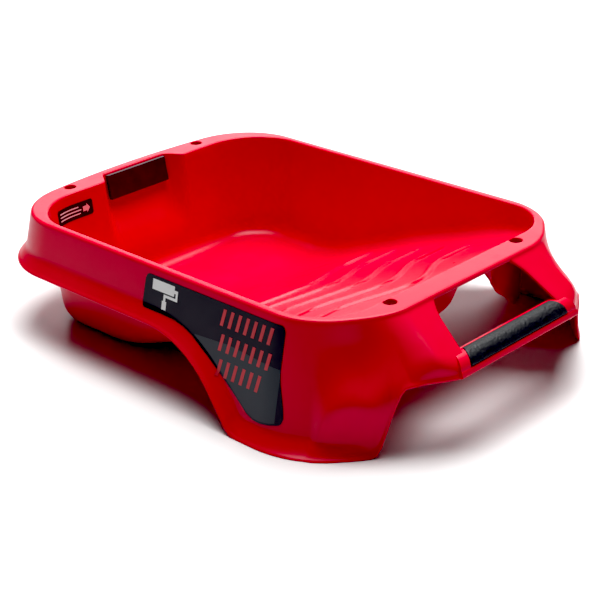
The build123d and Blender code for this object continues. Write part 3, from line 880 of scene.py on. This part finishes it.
def decal_cols():
    cols = []
    for i in range(DECAL_COLS + 1):
        u = i / DECAL_COLS
        x_top, x_low = mix(*DECAL_TOP_X, u), mix(*DECAL_LOW_X, u)
        edge = min(x_top - DECAL_TOP_X[0], DECAL_TOP_X[1] - x_top)
        z_top = DECAL_TOP_Z - rounding(5.0, edge) - 0.9 * u
        z_low = height_on(LOWER_EDGE, x_low)
        z_low += rounding(4.5, x_low - DECAL_LOW_X[0])
        z_low += rounding(5.0, DECAL_LOW_X[1] - x_low)
        col = []
        for j in range(DECAL_ROWS + 1):
            z = mix(z_low, z_top, j / DECAL_ROWS)
            left = mix(-7.4, -5.6, clamp((z - 72) / 30))
            right = mix(163.3, 171.6, ease((66 - z) / 44) * 0.95)
            col.append((mix(left, right, u), z))
        cols.append(col)
    return cols


side = film("side_decal_film", decal_cols(), skirt_at, 0.35, 0.5)
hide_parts("side_decal")


def patch_cols(x0, x1, lower, upper, nx, nz):
    """Grid of places from x0 to x1, between a lower and an upper line."""
    cols = []
    for x in np.linspace(x0, x1, nx + 1):
        cols.append([(x, mix(lower(x), upper(x), j / nz)) for j in range(nz + 1)])
    return cols


# paler lower part of the side decal
PANEL_TOP = [(40, 60), (55, 66.0), (104, 69.0), (164, 65.0)]


def panel_top(x):
    return height_on(PANEL_TOP, x)


def panel_low(x):
    return height_on(LOWER_EDGE, x) + 1.6


panel_cols = patch_cols(62, 163.4, panel_low, panel_top, 70, 26)
panel = film("decal_lower_panel", panel_cols, skirt_at, 0.42, 0.25)

# slanted bars in three rows
HATCH_ROWS = ((89.5, 7), (68.5, 7), (47.5, 6))       # (middle height, how many)
HATCH_X, HATCH_STEP, HATCH_SHIFT = 90.5, 9.2, 0.8
HATCH_W, HATCH_HALF, HATCH_SLANT = 3.6, 7.2, 3.0


def hatch_cols(x0, z_mid):
    low, high = z_mid - HATCH_HALF, z_mid + HATCH_HALF
    cols = []
    for i in range(5):
        x = x0 + HATCH_W * i / 4
        cols.append([(x + HATCH_SLANT * (j / 8), mix(low, high, j / 8)) for j in range(9)])
    return cols


hatch = []
for row, (z_mid, count) in enumerate(HATCH_ROWS):
    for k in range(count):
        cols = hatch_cols(HATCH_X + k * HATCH_STEP + row * HATCH_SHIFT, z_mid)
        hatch.append(film(f"decal_bar_{row}_{k}", cols, skirt_at, 0.5, 0.3))

# plain sign of a paint roller in white, in boxes of (x0, x1, z0, z1)
SIGN_BOXES = (
    (4, 32, 90, 99), (32, 36.5, 92.8, 95.6), (34, 36.5, 86.4, 92.8),
    (19, 34, 86.4, 88.8), (19, 21.6, 83.0, 86.4), (17.6, 23.0, 75.5, 83.0),
)


def box_cols(x0, x1, z0, z1):
    nx, nz = max(2, int((x1 - x0) / 2)), max(2, int((z1 - z0) / 2))
    return patch_cols(x0, x1, lambda x: z0, lambda x: z1, nx, nz)


sign = []
for n, sign_box in enumerate(SIGN_BOXES):
    sign.append(film(f"decal_sign_{n}", box_cols(*sign_box), skirt_at, 0.5, 0.3))

# label inside the well end, by (y, z): a film with rounded corners, three lines and an arrow
LABEL_Y, LABEL_Z, LABEL_ROUND = (-117.0, -71.0), (82.25, 97.75), 2.0
LABEL_LINES = ((93.4, -113.5, -88.5), (90.0, -113.5, -85.5), (86.6, -113.5, -86.5))      # (z, y0, y1)
LINE_W = 1.3
ARROW_Z = 90.0
ARROW = (                                    # (y, half width)
    (-83.4, 2.6), (-80.5, 2.6), (-78.6, 2.6), (-78.5, 4.6), (-76.6, 2.4), (-74.8, 0.15),
)


def label_cols():
    cols = []
    for i in range(29):
        y = mix(*LABEL_Y, i / 28)
        cut = rounding(LABEL_ROUND, min(y - LABEL_Y[0], LABEL_Y[1] - y))
        cols.append([(y, mix(LABEL_Z[0] + cut, LABEL_Z[1] - cut, j / 10)) for j in range(11)])
    return cols


label = film("label_film", label_cols(), pan_at, 0.35, 0.5)
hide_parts("instruction_label")
lines = []
for n, (z, y0, y1) in enumerate(LABEL_LINES):
    cols = [[(y, z - LINE_W / 2 + LINE_W * j / 2) for j in range(3)] for y in np.linspace(y0, y1, 15)]
    lines.append(film(f"label_line_{n}", cols, pan_at, 0.48, 0.3))
arrow_cols = [[(y, ARROW_Z + w * (j / 2 - 1)) for j in range(5)] for y, w in ARROW]
arrow = film("label_arrow", arrow_cols, pan_at, 0.48, 0.3)


# ---------------------------------------------------------------- materials
def material(name, color, rough, spec=0.5):
    """New material, with its nodes, links, shader and texture coordinates."""
    mat = bpy.data.materials.new(name)
    mat.use_nodes = True
    nodes, links = mat.node_tree.nodes, mat.node_tree.links
    bsdf = nodes["Principled BSDF"]
    bsdf.inputs["Base Color"].default_value = (*color, 1)
    bsdf.inputs["Roughness"].default_value = rough
    bsdf.inputs["Specular IOR Level"].default_value = spec
    coord = nodes.new("ShaderNodeTexCoord")
    return mat, nodes, links, bsdf, coord


def noise_node(nodes, links, coord, scale, detail=4.0, rough=0.55):
    """Noise over the object's own coordinates."""
    n = nodes.new("ShaderNodeTexNoise")
    n.inputs["Scale"].default_value = scale
    n.inputs["Detail"].default_value = detail
    n.inputs["Roughness"].default_value = rough
    links.new(coord.outputs["Object"], n.inputs["Vector"])
    return n


def range_node(nodes, links, source, lo, hi, a, b):
    """A value's range from lo to hi, stretched to a to b."""
    r = nodes.new("ShaderNodeMapRange")
    r.inputs["From Min"].default_value = lo
    r.inputs["From Max"].default_value = hi
    r.inputs["To Min"].default_value = a
    r.inputs["To Max"].default_value = b
    links.new(source, r.inputs["Value"])
    return r.outputs["Result"]


def bump_node(nodes, links, bsdf, heights):
    """Chain of bumps: (height socket, strength, distance)."""
    last = None
    for socket, strength, distance in heights:
        b = nodes.new("ShaderNodeBump")
        b.inputs["Strength"].default_value = strength
        b.inputs["Distance"].default_value = distance
        links.new(socket, b.inputs["Height"])
        if last is not None:
            links.new(last.outputs["Normal"], b.inputs["Normal"])
        last = b
    links.new(last.outputs["Normal"], bsdf.inputs["Normal"])


def tint(nodes, links, bsdf, source, lo, hi, dark, light):
    """Base colour that wanders between two shades."""
    m = nodes.new("ShaderNodeMix")
    m.data_type = "RGBA"
    m.inputs[6].default_value = (*dark, 1)
    m.inputs[7].default_value = (*light, 1)
    links.new(range_node(nodes, links, source, lo, hi, 0.0, 1.0), m.inputs[0])
    links.new(m.outputs[2], bsdf.inputs["Base Color"])


def red_plastic():
    mat, nodes, links, bsdf, coord = material("red_polypropylene", (0.78, 0.004, 0.012), 0.3, 0.28)
    cloud = noise_node(nodes, links, coord, 9.0, 3.0)
    grain = noise_node(nodes, links, coord, 900.0, 2.0)
    peel = noise_node(nodes, links, coord, 160.0, 3.0)
    scuff = noise_node(nodes, links, coord, 55.0, 8.0, 0.7)
    tint(nodes, links, bsdf, cloud.outputs["Fac"], 0.35, 0.65, (0.66, 0.002, 0.030), (0.72, 0.003, 0.036))
    total = nodes.new("ShaderNodeMath")
    total.operation = "ADD"
    links.new(range_node(nodes, links, cloud.outputs["Fac"], 0.3, 0.7, 0.27, 0.33), total.inputs[0])
    links.new(range_node(nodes, links, scuff.outputs["Fac"], 0.45, 0.75, 0.0, 0.10), total.inputs[1])
    links.new(total.outputs["Value"], bsdf.inputs["Roughness"])
    bumps = ((peel.outputs["Fac"], 0.05, 0.001), (grain.outputs["Fac"], 0.06, 0.0003))
    bump_node(nodes, links, bsdf, bumps)
    return mat


def rubber():
    mat, nodes, links, bsdf, coord = material("grip_rubber", (0.012, 0.016, 0.015), 0.55)
    grit = noise_node(nodes, links, coord, 1100.0, 5.0, 0.7)
    lump = noise_node(nodes, links, coord, 380.0, 3.0)
    tint(nodes, links, bsdf, lump.outputs["Fac"], 0.35, 0.7, (0.0025, 0.0035, 0.003), (0.010, 0.013, 0.012))
    links.new(range_node(nodes, links, grit.outputs["Fac"], 0.3, 0.7, 0.42, 0.75), bsdf.inputs["Roughness"])
    bumps = ((lump.outputs["Fac"], 0.5, 0.0006), (grit.outputs["Fac"], 0.45, 0.0003))
    bump_node(nodes, links, bsdf, bumps)
    return mat


def dark_block():
    mat, nodes, links, bsdf, coord = material("magnet_ferrite", (0.05, 0.022, 0.022), 0.45)
    grit = noise_node(nodes, links, coord, 700.0, 6.0, 0.65)
    cloud = noise_node(nodes, links, coord, 60.0, 4.0)
    tint(nodes, links, bsdf, cloud.outputs["Fac"], 0.35, 0.65, (0.040, 0.018, 0.018), (0.065, 0.028, 0.030))
    links.new(range_node(nodes, links, grit.outputs["Fac"], 0.3, 0.7, 0.36, 0.6), bsdf.inputs["Roughness"])
    bump_node(nodes, links, bsdf, ((grit.outputs["Fac"], 0.25, 0.0003),))
    return mat


def foam_pad():
    mat, nodes, links, bsdf, coord = material("adhesive_foam", (0.06, 0.06, 0.06), 0.8)
    cell = noise_node(nodes, links, coord, 1500.0, 3.0)
    tint(nodes, links, bsdf, cell.outputs["Fac"], 0.3, 0.7, (0.03, 0.03, 0.03), (0.09, 0.09, 0.09))
    bump_node(nodes, links, bsdf, ((cell.outputs["Fac"], 0.5, 0.0003),))
    return mat


def print_film(name, color, rough, vary=0.12):
    mat, nodes, links, bsdf, coord = material(name, color, rough)
    cloud = noise_node(nodes, links, coord, 40.0, 5.0, 0.6)
    fine = noise_node(nodes, links, coord, 500.0, 3.0)
    dark = tuple(c * (1 - vary) for c in color)
    light = tuple(c * (1 + vary) for c in color)
    tint(nodes, links, bsdf, cloud.outputs["Fac"], 0.3, 0.7, dark, light)
    roughness = range_node(nodes, links, cloud.outputs["Fac"], 0.3, 0.7, rough * 0.9, rough * 1.15)
    links.new(roughness, bsdf.inputs["Roughness"])
    bump_node(nodes, links, bsdf, ((fine.outputs["Fac"], 0.05, 0.0003),))
    return mat


def coat(obj, mat):
    obj.data.materials.clear()
    obj.data.materials.append(mat)


red = red_plastic()
black_film = print_film("decal_black", (0.003, 0.0035, 0.004), 0.42)
grey_film = print_film("decal_grey", (0.025, 0.034, 0.036), 0.34)
red_ink = print_film("decal_red_ink", (0.55, 0.045, 0.05), 0.4)
white_ink = print_film("decal_white_ink", (0.80, 0.80, 0.80), 0.4, 0.03)
pink_ink = print_film("label_pink_ink", (0.85, 0.55, 0.57), 0.4, 0.05)
coat(tray, red)
coat(grip, rubber())
coat(side, black_film)
coat(panel, grey_film)
for piece in hatch:
    coat(piece, red_ink)
for piece in sign:
    coat(piece, white_ink)
coat(label, black_film)
for piece in lines:
    coat(piece, white_ink)
coat(arrow, pink_ink)
ferrite = dark_block()
for node_name, mat in (("brush_magnet", ferrite), ("magnet_adhesive_pad", foam_pad())):
    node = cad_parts[node_name]
    for material_slot in node.material_slots:
        material_slot.material = mat
    if not node.material_slots:
        node.data.materials.append(mat)

# ---------------------------------------------------------------- floor
FLOOR_SIZE, FLOOR_DROP = 16, 0.0002          # metres; the drop keeps it clear of the underside
bpy.ops.mesh.primitive_plane_add(size=FLOOR_SIZE, location=(0, 0, -FLOOR_DROP))
floor = bpy.context.object
floor.name = "studio_floor"
coat(floor, material("studio_floor", (0.86, 0.86, 0.86), 0.32, 0.35)[0])


# ---------------------------------------------------------------- light and camera
AIM = Vector((0, 0, 0.05))                   # where the lights point
SKY = 0.06                                   # strength of the white surroundings


def area(name, location, size, size_y, energy):
    data = bpy.data.lights.new(name, "AREA")
    data.shape = "RECTANGLE"
    data.size = size
    data.size_y = size_y
    data.energy = energy
    obj = bpy.data.objects.new(name, data)
    obj.location = location
    obj.rotation_euler = (AIM - Vector(location)).to_track_quat("-Z", "Y").to_euler()
    scene.collection.objects.link(obj)


area("overhead", (-0.35, 0.55, 2.2), 1.9, 1.9, 118)
area("back_panel", (-1.9, 2.2, 1.0), 2.4, 1.5, 26)

world = bpy.data.worlds.new("studio")
scene.world = world
world.use_nodes = True
background = world.node_tree.nodes["Background"]
background.inputs["Color"].default_value = (1, 1, 1, 1)
background.inputs["Strength"].default_value = SKY

# The camera stands off the near corner of the handle end: yaw, pitch and roll are in radians.
CAMERA_AT = (0.96556, -0.93765, 0.64013)
YAW, PITCH, ROLL = 0.7900207843, 0.4324666522, -0.0400318293
LENS, SENSOR = 93.32, 36.0


def camera_turn():
    """Rotation of the camera as a matrix of its right, up and backward directions."""
    up = Vector((0, 0, 1))
    ahead = Vector((-math.sin(YAW), math.cos(YAW), 0))
    look = math.cos(PITCH) * ahead - math.sin(PITCH) * up
    right = look.cross(up).normalized()
    above = right.cross(look)
    c, s = math.cos(ROLL), math.sin(ROLL)
    return Matrix((c * right + s * above, -s * right + c * above, -look)).transposed()


lens = bpy.data.cameras.new("camera")
lens.sensor_width = SENSOR
lens.lens = LENS
lens.clip_end = 50
camera = bpy.data.objects.new("camera", lens)
moved = Matrix.Translation((CAMERA_AT[0] + SHIFT / 1000, *CAMERA_AT[1:]))
camera.matrix_world = moved @ camera_turn().to_4x4()
scene.collection.objects.link(camera)
scene.camera = camera

# Standard tones, with the black level raised a little, which deepens the shade.
scene.view_settings.view_transform = "Standard"
scene.view_settings.use_curve_mapping = True
tone = scene.view_settings.curve_mapping
tone.black_level = (0.028, 0.03, 0.024)
tone.update()
